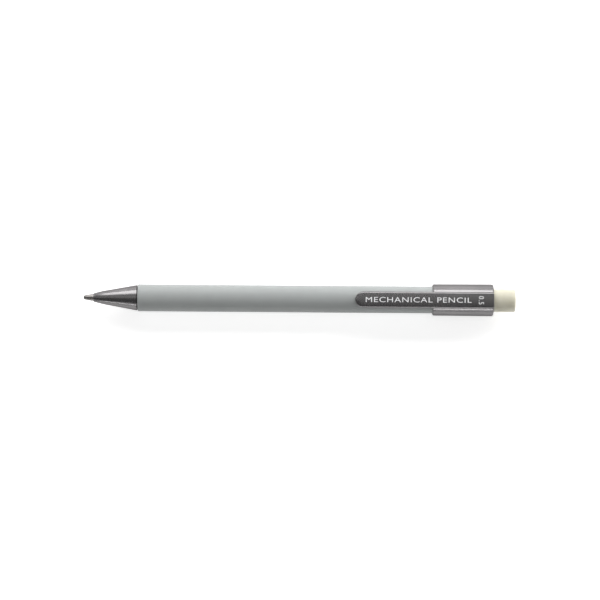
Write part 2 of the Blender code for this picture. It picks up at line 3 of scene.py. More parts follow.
import bmesh
import bpy
import numpy as np
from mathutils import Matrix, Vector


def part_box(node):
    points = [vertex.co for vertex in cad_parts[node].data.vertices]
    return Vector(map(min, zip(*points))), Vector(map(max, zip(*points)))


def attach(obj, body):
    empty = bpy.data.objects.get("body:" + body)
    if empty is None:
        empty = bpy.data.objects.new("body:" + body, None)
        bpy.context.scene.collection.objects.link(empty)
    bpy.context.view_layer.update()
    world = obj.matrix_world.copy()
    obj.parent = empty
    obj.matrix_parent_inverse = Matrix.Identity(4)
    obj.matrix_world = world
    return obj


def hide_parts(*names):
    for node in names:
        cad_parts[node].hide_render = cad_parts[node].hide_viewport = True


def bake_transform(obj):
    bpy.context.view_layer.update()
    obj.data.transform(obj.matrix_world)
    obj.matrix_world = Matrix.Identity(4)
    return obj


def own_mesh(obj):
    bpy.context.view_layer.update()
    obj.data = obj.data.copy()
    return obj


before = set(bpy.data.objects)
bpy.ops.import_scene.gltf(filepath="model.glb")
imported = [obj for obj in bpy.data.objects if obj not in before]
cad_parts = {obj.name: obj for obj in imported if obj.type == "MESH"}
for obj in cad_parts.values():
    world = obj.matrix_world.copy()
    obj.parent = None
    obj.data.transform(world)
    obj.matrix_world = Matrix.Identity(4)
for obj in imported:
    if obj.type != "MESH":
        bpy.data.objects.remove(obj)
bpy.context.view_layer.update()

# ---------------------------------------------------------------------------------------------
# Barrel: one moulded ABS tube, sprayed with a satin soft-touch coat. The cone screws into its
# front, the collar snaps into the groove near its rear. Its bore steps down to guide the works.
MM = 0.001
TURN = 2 * math.pi
MERGE = 2e-7
SHARP_FROM = math.radians(42)
axis_height = (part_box("barrel")[0].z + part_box("barrel")[1].z) / 2
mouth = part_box("nozzle")[0].x


def station(x):
    """Millimetres along the pencil from the nozzle's mouth, for a place in the row frame."""
    return (x - mouth) / MM


def ends(node):
    """First station, last station and radius of a turned CAD node, in millimetres."""
    low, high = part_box(node)
    return station(low.x), station(high.x), (high.y - low.y) / 2 / MM


def eased(outline, ease=0.05, steps=4):
    """Outline with every corner rounded. A corner's curve is the parabola that touches both its
    sides: corner + t((1-s)^2 back + s^2 ahead), s from 0 to 1, where back and ahead point along
    the sides, and t is at most 0.42 of the shorter one. A point just beyond each end of the curve
    keeps the flats flat, so a corner gives steps + 3 points. A corner on the axis stays sharp."""
    points = np.array([(p[0], p[1]) for p in outline], float)
    size = np.array([p[2] if len(p) > 2 else ease for p in outline], float)
    back = np.roll(points, 1, axis=0) - points
    ahead = np.roll(points, -1, axis=0) - points
    room = np.stack([np.linalg.norm(back, axis=1), np.linalg.norm(ahead, axis=1)])
    back = (back / room[0][:, None])[:, None, :]
    ahead = (ahead / room[1][:, None])[:, None, :]
    touch = np.minimum(size, 0.42 * room.min(axis=0))[:, None, None]
    s = np.linspace(0, 1, steps + 1)[None, :, None]
    curve = points[:, None, :] + touch * ((1 - s) ** 2 * back + s**2 * ahead)
    before = curve[:, :1] + 0.12 * touch * back
    after = curve[:, -1:] + 0.12 * touch * ahead
    made = np.concatenate([before, curve, after], axis=1)
    on_axis = points[:, 1] <= 1e-9
    made[on_axis] = points[on_axis][:, None, :]
    return made.reshape(-1, 2)


def as_piece(name, points, faces, finish):
    """A mesh piece from points in metres, its doubles merged and its faces turned outwards."""
    mesh = bpy.data.meshes.new(name)
    mesh.from_pydata(points.tolist(), [], faces)
    work = bmesh.new()
    work.from_mesh(mesh)
    bmesh.ops.remove_doubles(work, verts=work.verts, dist=MERGE)
    bmesh.ops.dissolve_degenerate(work, edges=work.edges, dist=MERGE)
    bmesh.ops.recalc_face_normals(work, faces=work.faces)
    work.to_mesh(mesh)
    work.free()
    mesh.materials.append(finish)
    mesh.shade_smooth()
    mesh.set_sharp_from_angle(angle=SHARP_FROM)
    piece = bpy.data.objects.new(name, mesh)
    bpy.context.scene.collection.objects.link(piece)
    return piece


def quads(rows, columns, wrap_rows=True, wrap_columns=True):
    """Corner numbers of the four-sided faces of a grid, which may close on itself either way."""
    row = np.arange(rows if wrap_rows else rows - 1)[:, None]
    column = np.arange(columns if wrap_columns else columns - 1)[None, :]
    next_row, next_column = (row + 1) % rows, (column + 1) % columns
    corners = [(row, column), (row, next_column), (next_row, next_column), (next_row, column)]
    return np.stack([a * columns + b for a, b in corners], axis=-1).reshape(-1, 4).tolist()


def turned(name, outline, finish, sides=96, relief=None):
    """A closed outline of (station, radius) carried round the pencil's axis. At angle a the point
    stands r sin a to the side and r cos a above the axis, and relief(station, angle, radius) is
    the height in millimetres added to r there."""
    x, r = outline[:, :1], outline[:, 1:]
    angle = np.linspace(0, TURN, sides, endpoint=False)[None, :]
    reach = r + 0 * angle if relief is None else r + relief(x, angle, r)
    reach = np.where(r > 0, reach, 0)
    points = np.stack([
        mouth + MM * (x + 0 * angle),
        MM * reach * np.sin(angle),
        axis_height + MM * reach * np.cos(angle),
    ], axis=-1)
    return as_piece(name, points.reshape(-1, 3), quads(len(outline), sides), finish)


def node_finish(name, colour, rough, metal=0.0):
    """A material of even colour and roughness, its node tree, and its Principled shader."""
    made = bpy.data.materials.new(name)
    made.use_nodes = True
    tree = made.node_tree
    shader = tree.nodes["Principled BSDF"]
    shader.inputs["Base Color"].default_value = (*colour, 1)
    shader.inputs["Roughness"].default_value = rough
    shader.inputs["Metallic"].default_value = metal
    return made, tree, shader


def grain(tree, scale, detail=3.0, stretch=(1, 1, 1), distortion=0.0):
    """Noise in object coordinates, stretched along an axis where a surface is drawn or turned."""
    place = tree.nodes.new("ShaderNodeTexCoord")
    fit = tree.nodes.new("ShaderNodeMapping")
    fit.inputs["Scale"].default_value = stretch
    noise = tree.nodes.new("ShaderNodeTexNoise")
    noise.inputs["Scale"].default_value = scale
    noise.inputs["Detail"].default_value = detail
    noise.inputs["Distortion"].default_value = distortion
    tree.links.new(place.outputs["Object"], fit.inputs["Vector"])
    tree.links.new(fit.outputs["Vector"], noise.inputs["Vector"])
    return noise.outputs["Fac"]


def spread(tree, shader, socket, source, low, high):
    """The shader's colour or roughness between two ends, read from a noise. The ends are met at
    0.3 and 0.7 of the noise, and a number goes in as a grey."""
    ramp = tree.nodes.new("ShaderNodeValToRGB")
    for stop, place, value in zip(ramp.color_ramp.elements, (0.3, 0.7), (low, high)):
        stop.position = place
        stop.color = (*value, 1) if isinstance(value, tuple) else (value, value, value, 1)
    tree.links.new(source, ramp.inputs["Fac"])
    tree.links.new(ramp.outputs["Color"], shader.inputs[socket])


def bumps(tree, shader, *layers):
    """Bump nodes in a chain. Each layer is (height, strength, depth in metres)."""
    normal = None
    for height, strength, depth in layers:
        bump = tree.nodes.new("ShaderNodeBump")
        bump.inputs["Strength"].default_value = strength
        bump.inputs["Distance"].default_value = depth
        tree.links.new(height, bump.inputs["Height"])
        if normal is not None:
            tree.links.new(normal, bump.inputs["Normal"])
        normal = bump.outputs["Normal"]
    tree.links.new(normal, shader.inputs["Normal"])


soft_coat, tree, shader = node_finish("soft_touch_coat", (0.37, 0.387, 0.382), 0.5)
coat_cloud = grain(tree, 260, 4)
coat_speck = grain(tree, 9000, 2)
spread(tree, shader, "Base Color", coat_cloud, (0.313, 0.327, 0.324), (0.328, 0.343, 0.34))
spread(tree, shader, "Roughness", coat_speck, 0.5, 0.66)
bumps(tree, shader, (coat_speck, 0.3, 6e-6), (coat_cloud, 0.08, 2e-5))
shader.inputs["Specular IOR Level"].default_value = 0.22

THREAD_PITCH, THREAD_RUN, THREAD_LEAD_IN = 1.2, 6.0, 1.2
SPIGOT_LENGTH = 9.2
thread_start = ends("front_cone")[1] - SPIGOT_LENGTH + THREAD_LEAD_IN


def thread_ridge(x, angle):
    """A single-start thread with flat crests and roots: a steep cosine of station over pitch less
    the turn, cut off at 0 and 1."""
    return np.clip(0.5 + 0.85 * np.cos(TURN * x / THREAD_PITCH - angle), 0, 1)


def thread_run(x, first, last, fade=1.1):
    """1 along the threaded stretch, falling to 0 over a short run-out at each end."""
    return np.clip(np.minimum(x - first, last - x) / fade, 0, 1)


barrel_front, barrel_rear, barrel_r = ends("barrel")
BARREL_THREAD_BORE = 3.54
BARREL_GUIDE_BORE = 3.1
BARREL_BORE = 3.3
HOLDER_SLIDE_BORE = 3.8
CUSHION_SEAT = 38.45
GUIDE_REAR = 45.1
HOLDER_STOP = 120.8
GROOVE_FRONT, GROOVE_REAR, GROOVE_DEPTH = 118.1, 118.9, 0.1
NUT_DEPTH = 0.16
thread_rows = np.linspace(barrel_front + 0.5, thread_start + THREAD_RUN + THREAD_LEAD_IN, 90)
barrel_outline = np.concatenate([
    eased([
        (barrel_front, BARREL_THREAD_BORE, 0.15),
        (barrel_front, barrel_r, 0.3),
        (GROOVE_FRONT, barrel_r, 0.02),
        (GROOVE_FRONT, barrel_r - GROOVE_DEPTH, 0.02),
        (GROOVE_REAR, barrel_r - GROOVE_DEPTH, 0.02),
        (GROOVE_REAR, barrel_r, 0.02),
        (barrel_rear, barrel_r, 0.2),
        (barrel_rear, HOLDER_SLIDE_BORE, 0.15),
        (HOLDER_STOP, HOLDER_SLIDE_BORE),
        (HOLDER_STOP, BARREL_BORE, 0.1),
        (GUIDE_REAR, BARREL_BORE),
        (GUIDE_REAR, BARREL_GUIDE_BORE, 0.1),
        (CUSHION_SEAT, BARREL_GUIDE_BORE, 0.1),
        (CUSHION_SEAT, BARREL_THREAD_BORE),
    ]),
    np.stack([thread_rows[::-1], np.full_like(thread_rows, BARREL_THREAD_BORE)], axis=1),
])


def nut_thread(x, angle, r):
    """The female thread stands in from the bore, half a pitch out of step with the cone's."""
    run = thread_run(x, barrel_front + 0.6, thread_rows[-1])
    ridge = NUT_DEPTH * (1 - thread_ridge(x, angle)) * run
    return np.where(np.abs(r - BARREL_THREAD_BORE) < 1e-6, -ridge, 0)


barrel = turned("barrel_tube", barrel_outline, soft_coat, 128, nut_thread)
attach(barrel, "barrel")
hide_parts("barrel")

# ---------------------------------------------------------------------------------------------
# Lead tank: a thin translucent polypropylene tube, extruded, with a funnel at its front that
# leads one spare at a time into the chuck. The chuck's tail is a press fit in it.
tank_front, tank_rear, tank_r = ends("lead_tank")
TANK_BORE = 1.95
TANK_THROAT = 0.8
TAIL_SOCKET = 1.275
FUNNEL_FRONT, FUNNEL_REAR, THROAT_FRONT = 41.5, 43.5, 41.2

clear_plastic, tree, shader = node_finish("translucent_tube", (0.82, 0.85, 0.86), 0.3)
draw_lines = grain(tree, 1500, 3, (0.03, 1, 1))
spread(tree, shader, "Base Color", draw_lines, (0.78, 0.82, 0.83), (0.88, 0.9, 0.91))
spread(tree, shader, "Roughness", draw_lines, 0.22, 0.38)
bumps(tree, shader, (draw_lines, 0.3, 1e-5))
shader.inputs["Transmission Weight"].default_value = 0.6
shader.inputs["IOR"].default_value = 1.49

tank = turned("spare_lead_tank", eased([
    (tank_front, TAIL_SOCKET, 0.1),
    (tank_front, tank_r, 0.2),
    (tank_rear, tank_r, 0.15),
    (tank_rear, TANK_BORE, 0.15),
    (FUNNEL_REAR, TANK_BORE, 0.4),
    (FUNNEL_FRONT, TANK_THROAT, 0.2),
    (THROAT_FRONT, TANK_THROAT, 0.1),
    (THROAT_FRONT, TAIL_SOCKET),
]), clear_plastic, 72)
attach(tank, "plunger")
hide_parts("lead_tank")

# ---------------------------------------------------------------------------------------------
# Chuck: turned from brass rod and slit three ways. Its stem is pressed into the tank, and the
# three jaws taper at the front so that the ring can wedge them shut on the lead.
brass, tree, shader = node_finish("turned_brass", (0.78, 0.56, 0.26), 0.24, 1.0)
turning_lines = grain(tree, 700, 4, (14, 0.35, 0.35))
tarnish = grain(tree, 420, 3)
spread(tree, shader, "Base Color", tarnish, (0.66, 0.45, 0.2), (0.83, 0.62, 0.31))
spread(tree, shader, "Roughness", turning_lines, 0.16, 0.36)
bumps(tree, shader, (turning_lines, 0.35, 8e-6))

stem_front, stem_rear, stem_r = ends("chuck_stem")
STEM_BORE, TAIL_R, TAIL_NOSE, TAIL_MOUTH = 0.5, 1.25, 1.15, 0.875
stem = turned("chuck_stem_tube", eased([
    (stem_front, stem_r, 0.06),
    (tank_front - 0.05, stem_r, 0.06),
    (tank_front - 0.05, TAIL_R, 0.03),
    (stem_rear - 0.2, TAIL_R, 0.03),
    (stem_rear, TAIL_NOSE, 0.04),
    (stem_rear, TAIL_MOUTH, 0.03),
    (stem_rear - 0.75, STEM_BORE, 0.05),
    (stem_front, STEM_BORE, 0.04),
]), brass, 72)
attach(stem, "plunger")
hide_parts("chuck_stem")

JAW_HEAD, JAW_ARM, JAW_NOSE = 1.65, 1.3, 1.0
JAW_BORE, JAW_RELIEF, JAW_MOUTH = 0.3, 0.55, 0.433
JAW_HALF_SLIT = 0.12
TOOTH_PITCH, TOOTH_DEPTH = 0.3, 0.03
jaw_front = station(min(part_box(f"chuck_jaw_{n}")[0].x for n in (1, 2, 3)))
jaw_root = station(max(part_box(f"chuck_jaw_{n}")[1].x for n in (1, 2, 3)))
tooth_rows = np.linspace(jaw_front + 4.2, jaw_front + 0.6, 64)
# The teeth are a straight-sided wave: how far the share of a pitch is from its middle.
tooth_wave = np.abs(((tooth_rows - jaw_front) / TOOTH_PITCH) % 1 - 0.5)
jaw_outline = np.concatenate([
    eased([
        (jaw_front, JAW_MOUTH, 0.05),
        (jaw_front, JAW_NOSE, 0.12),
        (jaw_front + 1.3, JAW_HEAD, 0.15),
        (jaw_front + 2.0, JAW_HEAD, 0.15),
        (jaw_front + 5.5, JAW_ARM, 0.3),
        (jaw_root, JAW_ARM, 0.05),
        (jaw_root, JAW_RELIEF, 0.03),
        (jaw_front + 5.0, JAW_RELIEF, 0.1),
        (jaw_front + 4.4, JAW_BORE, 0.03),
    ]),
    np.stack([tooth_rows, JAW_BORE + TOOTH_DEPTH * tooth_wave], axis=1),
    [[jaw_front + 0.4, JAW_BORE]],
])
for number in (1, 2, 3):
    # A jaw fills a third of the turn less the slit: its half angle at radius r is 60 degrees less
    # the arc sine of half the slit over r, so that its two cut sides are flat and parallel.
    x, r = jaw_outline[:, :1], jaw_outline[:, 1:]
    half = math.pi / 3 - np.arcsin(JAW_HALF_SLIT / r)
    angle = half * np.linspace(-1, 1, 33)[None, :] - TURN / 3 * (number - 1)
    points = np.stack([
        mouth + MM * (x + 0 * angle),
        MM * r * np.sin(angle),
        axis_height + MM * r * np.cos(angle),
    ], axis=-1)
    rows, columns = angle.shape
    first = np.arange(rows) * columns
    cut_sides = [first.tolist(), (first[::-1] + columns - 1).tolist()]
    faces = quads(rows, columns, True, False) + cut_sides
    jaw = as_piece(f"chuck_jaw_arm_{number}", points.reshape(-1, 3), faces, brass)
    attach(jaw, f"jaw_{number}")
    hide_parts(f"chuck_jaw_{number}")

# ---------------------------------------------------------------------------------------------
# Chuck spring: hard-drawn steel wire, coiled with a closed turn at each end. It pushes the tank
# back against the sleeve's lip, and so pulls the jaws into the ring.
spring_steel, tree, shader = node_finish("spring_wire", (0.62, 0.62, 0.63), 0.26, 1.0)
die_marks = grain(tree, 5200, 3)
wire_film = grain(tree, 600, 3)
spread(tree, shader, "Base Color", wire_film, (0.5, 0.49, 0.48), (0.68, 0.68, 0.7))
spread(tree, shader, "Roughness", die_marks, 0.18, 0.38)
bumps(tree, shader, (die_marks, 0.3, 5e-6))


WIRE_SIDES = 14
WIRE_END = [0.0, 0.8, 1.0]


def coiled(name, first, last, coil_r, wire_r, turns, finish):
    """A wire of round section along a helix. The centre line stands coil_r from the axis, and its
    station rises by one wire for each closed end turn and evenly between them. The section's
    circle spans the outward direction and the square of it with the wire's own direction. Its
    first and last three rings stand together and close the wire's ends."""
    s = np.linspace(0, turns, int(turns * 40) + 1)
    closed = 2.1 * wire_r
    free = last - first - 2 * wire_r - 2 * closed
    ends_run = np.minimum(s, 1) + np.maximum(s - (turns - 1), 0)
    x = first + wire_r + closed * ends_run + free * np.clip((s - 1) / (turns - 2), 0, 1)
    angle = TURN * s
    centre = np.stack([x, coil_r * np.sin(angle), coil_r * np.cos(angle)], axis=1)
    along = np.gradient(centre, axis=0)
    along /= np.linalg.norm(along, axis=1)[:, None]
    outward = np.stack([0 * s, np.sin(angle), np.cos(angle)], axis=1)
    square = np.cross(along, outward)
    round_wire = np.linspace(0, TURN, WIRE_SIDES, endpoint=False)[None, :, None]
    size = np.concatenate([WIRE_END, np.ones(len(s) - 6), WIRE_END[::-1]])[:, None, None]
    skin = centre[:, None] + wire_r * size * (
        np.cos(round_wire) * outward[:, None] + np.sin(round_wire) * square[:, None]
    )
    ends_at = [0, 0, 0, *range(3, len(s) - 3), len(s) - 1, len(s) - 1, len(s) - 1]
    skin = skin + (centre[ends_at] - centre)[:, None]
    points = np.array([mouth, 0, axis_height]) + MM * skin
    return as_piece(name, points.reshape(-1, 3), quads(len(s), WIRE_SIDES, False, True), finish)


LIP_REAR = 23.85
chuck_spring = coiled(
    "chuck_return_spring", LIP_REAR + 0.05, tank_front - 0.05,
    coil_r=2.05, wire_r=0.18, turns=8.5, finish=spring_steel,
)
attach(chuck_spring, "mechanism")
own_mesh(chuck_spring)
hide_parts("chuck_spring")

# ---------------------------------------------------------------------------------------------
# Clutch ring: a short brass ring, chamfered at both ends, loose on the jaws' taper. It jams the
# jaws on the lead until it meets the stop inside the cone.
ring_front, ring_rear, ring_r = ends("clutch_ring")
RING_BORE = 1.52
ring = turned("clutch_wedge_ring", eased([
    (ring_front, RING_BORE + 0.08, 0.02),
    (ring_front, ring_r - 0.15, 0.05),
    (ring_front + 0.15, ring_r, 0.05),
    (ring_rear - 0.15, ring_r, 0.05),
    (ring_rear, ring_r - 0.15, 0.05),
    (ring_rear, RING_BORE + 0.15, 0.05),
    (ring_rear - 0.15, RING_BORE, 0.05),
    (ring_front + 0.15, RING_BORE, 0.05),
]), brass, 96)
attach(ring, "ring")
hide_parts("clutch_ring")

# ---------------------------------------------------------------------------------------------
# Clutch sleeve: natural acetal, moulded. It seats the ring in front, houses the chuck spring,
# and guides the tank behind; its flange rests on the end of the cone's spigot.
acetal, tree, shader = node_finish("natural_acetal", (0.82, 0.81, 0.77), 0.42)
flow = grain(tree, 300, 4, (0.3, 1, 1), 0.6)
skin_grain = grain(tree, 6000, 2)
spread(tree, shader, "Base Color", flow, (0.76, 0.75, 0.71), (0.86, 0.85, 0.82))
spread(tree, shader, "Roughness", skin_grain, 0.36, 0.5)
bumps(tree, shader, (skin_grain, 0.25, 5e-6))
shader.inputs["Subsurface Weight"].default_value = 0.15
shader.inputs["Subsurface Scale"].default_value = 0.0006

sleeve_front, sleeve_rear, sleeve_flange_r = ends("clutch_sleeve")
RING_HOUSING, SLEEVE_FRONT, SLEEVE_REAR = 2.4, 2.8, 3.0
SPRING_CHAMBER, TANK_GUIDE, LIP_BORE = 2.35, 2.6, 1.6
LIP_FRONT, WIDENING = 22.65, 33.6
FLANGE_FRONT, FLANGE_REAR = 26.85, 28.05
sleeve = turned("clutch_sleeve_housing", eased([
    (sleeve_front, RING_HOUSING, 0.1),
    (sleeve_front, SLEEVE_FRONT, 0.12),
    (FLANGE_FRONT, SLEEVE_FRONT),
    (FLANGE_FRONT, sleeve_flange_r, 0.12),
    (FLANGE_REAR, sleeve_flange_r, 0.12),
    (FLANGE_REAR, SLEEVE_REAR, 0.1),
    (sleeve_rear, SLEEVE_REAR, 0.12),
    (sleeve_rear, TANK_GUIDE, 0.12),
    (WIDENING, TANK_GUIDE),
    (WIDENING, SPRING_CHAMBER, 0.05),
    (LIP_REAR, SPRING_CHAMBER),
    (LIP_REAR, LIP_BORE, 0.08),
    (LIP_FRONT, LIP_BORE, 0.08),
    (LIP_FRONT, RING_HOUSING),
]), acetal, 96)
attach(sleeve, "mechanism")
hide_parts("clutch_sleeve")

# ---------------------------------------------------------------------------------------------
# Cushion spring: a softer, wider coil between the sleeve's flange and the step in the barrel, so
# that the whole mechanism gives a little when the pencil is pressed too hard.
cushion_rear = CUSHION_SEAT - 0.05
cushion_spring = coiled(
    "cushion_return_spring", FLANGE_REAR + 0.05, cushion_rear,
    coil_r=3.27, wire_r=0.15, turns=6.0, finish=spring_steel,
)
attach(cushion_spring, "barrel")
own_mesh(cushion_spring)
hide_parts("cushion_spring")

# ---------------------------------------------------------------------------------------------
# Nozzle: turned steel, nickel plated, bored for the lead. The bullet nose shows, the stem slides
# in the cone, and a cup behind the flange holds the rubber bush that keeps the lead from falling.
nickel, tree, shader = node_finish("turned_nickel", (0.24, 0.228, 0.222), 0.3, 1.0)
shader.inputs["Specular Tint"].default_value = (0.25, 0.24, 0.235, 1)
lathe_lines = grain(tree, 800, 4, (16, 0.3, 0.3))
plating = grain(tree, 900, 3)
spread(tree, shader, "Base Color", plating, (0.21, 0.2, 0.193), (0.27, 0.258, 0.25))
spread(tree, shader, "Roughness", lathe_lines, 0.22, 0.4)
bumps(tree, shader, (lathe_lines, 0.4, 6e-6))

nozzle_front, nozzle_rear, nozzle_flange_r = ends("nozzle")
NOSE_LENGTH, MOUTH_R, LEAD_BORE = 2.6, 0.475, 0.31
STEM_R, CUP_R, BUSH_SEAT_R = 1.06, 1.35, 0.98
NOZZLE_FLANGE, FLANGE_THICK, SEAT_DEPTH = 6.9, 1.0, 1.8
# The nose swells from the mouth to the stem as the 0.6 power of the way along it.
nose_share = np.linspace(0, 1, 40) ** 1.8
nose_rows = np.stack([
    nozzle_front + 0.05 + (NOSE_LENGTH - 0.05) * nose_share,
    MOUTH_R + (STEM_R - MOUTH_R) * (0.02 + 0.98 * nose_share) ** 0.6,
], axis=1)
nozzle = turned("nozzle_sleeve", np.concatenate([
    [[nozzle_front, MOUTH_R - 0.02]],
    nose_rows,
    eased([
        (NOZZLE_FLANGE, STEM_R, 0.03),
        (NOZZLE_FLANGE, nozzle_flange_r, 0.08),
        (NOZZLE_FLANGE + FLANGE_THICK, nozzle_flange_r, 0.08),
        (NOZZLE_FLANGE + FLANGE_THICK, CUP_R, 0.05),
        (nozzle_rear, CUP_R, 0.05),
        (nozzle_rear, BUSH_SEAT_R, 0.05),
        (nozzle_rear - SEAT_DEPTH, BUSH_SEAT_R, 0.03),
        (nozzle_rear - SEAT_DEPTH, LEAD_BORE, 0.03),
    ])[1:],
    [[nozzle_front + 0.06, LEAD_BORE], [nozzle_front + 0.02, LEAD_BORE + 0.03]],
    [[nozzle_front, LEAD_BORE + 0.07]],
]), nickel, 96)
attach(nozzle, "nozzle")
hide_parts("nozzle")

rubber, tree, shader = node_finish("black_rubber", (0.03, 0.03, 0.032), 0.75)
rubber_grain = grain(tree, 4000, 3)
spread(tree, shader, "Base Color", rubber_grain, (0.022, 0.022, 0.024), (0.05, 0.05, 0.052))
spread(tree, shader, "Roughness", rubber_grain, 0.65, 0.85)
bumps(tree, shader, (rubber_grain, 0.4, 1e-5))
bush_front, bush_rear, bush_r = ends("lead_retainer")
BUSH_BORE, BUSH_DISH = 0.3, 0.53
bush = turned("lead_retainer_bush", eased([
    (bush_front, BUSH_BORE, 0.03),
    (bush_front, bush_r, 0.08),
    (bush_rear, bush_r, 0.08),
    (bush_rear, bush_r * 2 / 3, 0.05),
    (bush_rear - BUSH_DISH, BUSH_BORE, 0.08),
]), rubber, 48)
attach(bush, "nozzle")
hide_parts("lead_retainer")

# ---------------------------------------------------------------------------------------------
# Front cone: ABS, vacuum metallised dark grey, with a threaded spigot behind its shoulder. It
# carries the nozzle and stops the clutch ring; unscrewing it opens the mechanism.
metallised, tree, shader = node_finish("metallised_grey", (0.208, 0.202, 0.204), 0.28, 1.0)
shader.inputs["Specular Tint"].default_value = (0.5, 0.492, 0.492, 1)
lacquer = grain(tree, 190, 4, (0.5, 1, 1), 0.4)
flake = grain(tree, 14000, 2)
spread(tree, shader, "Base Color", lacquer, (0.193, 0.187, 0.19), (0.222, 0.216, 0.218))
spread(tree, shader, "Roughness", flake, 0.21, 0.34)
bumps(tree, shader, (flake, 0.07, 3e-6), (lacquer, 0.25, 2e-5))

cone_front, spigot_rear, _ = ends("front_cone")
cone_rear = spigot_rear - SPIGOT_LENGTH
CONE_REAR_R, CONE_SLOPE, CONE_SAG, CONE_NOSE_RUN = 4.2, 0.179861, 0.25, 4.2
SPIGOT_R, THREAD_DEPTH = 3.27, 0.21
SLEEVE_SOCKET, RING_STOP = 2.85, 19.35
CHUCK_CHAMBER, FLANGE_CHAMBER, NOZZLE_BORE = 2.127, 1.75, 1.11
CHAMBER_FRONT = 13.4


def cone_radius(x):
    """Straight, less a droop that grows as the square of the way into the nose."""
    into = np.clip((cone_front + CONE_NOSE_RUN - x) / CONE_NOSE_RUN, 0, 1)
    return CONE_REAR_R - CONE_SLOPE * (cone_rear - x) - CONE_SAG * into**2


# The lip round the nozzle is a quarter circle.
LIP_ROUND = 0.2
flank = np.linspace(cone_front + LIP_ROUND, cone_rear - 0.15, 48)
lip_turn = np.linspace(0, math.pi / 2, 7)
nose_lip = np.stack([
    cone_front + LIP_ROUND * (1 - np.sin(lip_turn)),
    cone_radius(cone_front + LIP_ROUND) - LIP_ROUND * (1 - np.cos(lip_turn)),
], axis=1)[::-1]
spigot_rows = np.linspace(cone_rear + 0.9, spigot_rear - 0.5, 110)
cone = turned("front_cone_shell", np.concatenate([
    nose_lip,
    np.stack([flank, cone_radius(flank)], axis=1),
    [[cone_rear - 0.06, cone_radius(cone_rear - 0.06)], [cone_rear - 0.015, CONE_REAR_R - 0.05]],
    [[cone_rear, CONE_REAR_R - 0.12], [cone_rear, SPIGOT_R + 0.1], [cone_rear + 0.1, SPIGOT_R]],
    np.stack([spigot_rows, np.full_like(spigot_rows, SPIGOT_R)], axis=1),
    eased([
        (spigot_rear, SPIGOT_R, 0.15),
        (spigot_rear, SLEEVE_SOCKET, 0.1),
        (RING_STOP, SLEEVE_SOCKET),
        (RING_STOP, CHUCK_CHAMBER, 0.05),
        (CHAMBER_FRONT, CHUCK_CHAMBER),
        (CHAMBER_FRONT, FLANGE_CHAMBER, 0.05),
        (NOZZLE_FLANGE - 0.05, FLANGE_CHAMBER),
        (NOZZLE_FLANGE - 0.05, NOZZLE_BORE, 0.05),
        (cone_front, NOZZLE_BORE, 0.05),
    ])[1:],
]), metallised, 128, lambda x, angle, r: np.where(
    np.abs(r - SPIGOT_R) < 1e-6,
    THREAD_DEPTH * thread_ridge(x, angle) * thread_run(x, thread_start, thread_start + THREAD_RUN),
    0,
))
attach(cone, "cone")
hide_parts("front_cone")

# ---------------------------------------------------------------------------------------------
# Leads: fired graphite and polymer sticks, 0.56 mm across and 60 mm long. One is in the chuck,
# and the spares lie loose along the bottom of the tank.
graphite, tree, shader = node_finish("graphite", (0.045, 0.045, 0.05), 0.38, 0.3)
lead_grain = grain(tree, 7000, 3, (0.15, 1, 1))
spread(tree, shader, "Base Color", lead_grain, (0.03, 0.03, 0.034), (0.08, 0.08, 0.086))
spread(tree, shader, "Roughness", lead_grain, 0.28, 0.5)
bumps(tree, shader, (lead_grain, 0.3, 4e-6))

for node, name, body in (
    ("lead", "writing_lead", "lead"),
    ("spare_lead_1", "spare_lead_left", "plunger"),
    ("spare_lead_2", "spare_lead_middle", "plunger"),
    ("spare_lead_3", "spare_lead_right", "plunger"),
):
    # A rod about its own centre line: the radius is even but for the two eased ends.
    low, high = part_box(node)
    length, lead_r = (high.x - low.x) / MM, (high.z - low.z) / 2 / MM
    rod = eased([(0, 0), (0, lead_r, 0.05), (length, lead_r, 0.05), (length, 0)])
    angle = np.linspace(0, TURN, 32, endpoint=False)[None, :]
    points = np.stack([
        low.x + MM * (rod[:, :1] + 0 * angle),
        (low.y + high.y) / 2 + MM * rod[:, 1:] * np.sin(angle),
        (low.z + high.z) / 2 + MM * rod[:, 1:] * np.cos(angle),
    ], axis=-1)
    stick = as_piece(name, points.reshape(-1, 3), quads(len(rod), 32, False, True), graphite)
    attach(stick, body)
    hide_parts(node)

# ---------------------------------------------------------------------------------------------
# Eraser holder: a dark moulded cup whose plug is pushed into the tank's rear. It slides in the
# barrel, and its floor has the hole through which spare leads are loaded.
dark_plastic, tree, shader = node_finish("dark_plastic", (0.08, 0.08, 0.085), 0.45)
moulded = grain(tree, 5000, 3)
spread(tree, shader, "Base Color", moulded, (0.065, 0.065, 0.07), (0.1, 0.1, 0.105))
spread(tree, shader, "Roughness", moulded, 0.36, 0.54)
bumps(tree, shader, (moulded, 0.3, 6e-6))

plug_front, cup_rear, cup_r = ends("eraser_holder")
CUP_FLOOR, CUP_BORE, PLUG_R, PLUG_LENGTH, LOADING_HOLE = 1.2, 2.85, 1.9, 5.05, 1.15
FLUTES, FLUTE_DEPTH = 16, 0.06
cup_front = plug_front + PLUG_LENGTH


def fluting(x, angle, r):
    """Shallow flutes cut along the outside of the cup, where it slides: a cosine of the angle."""
    along = np.clip(np.minimum(x - cup_front - 0.5, cup_rear - 0.7 - x) / 0.3, 0, 1)
    flute = FLUTE_DEPTH * along * (0.5 - 0.5 * np.cos(FLUTES * angle))
    return np.where(np.abs(r - cup_r) < 1e-6, -flute, 0)


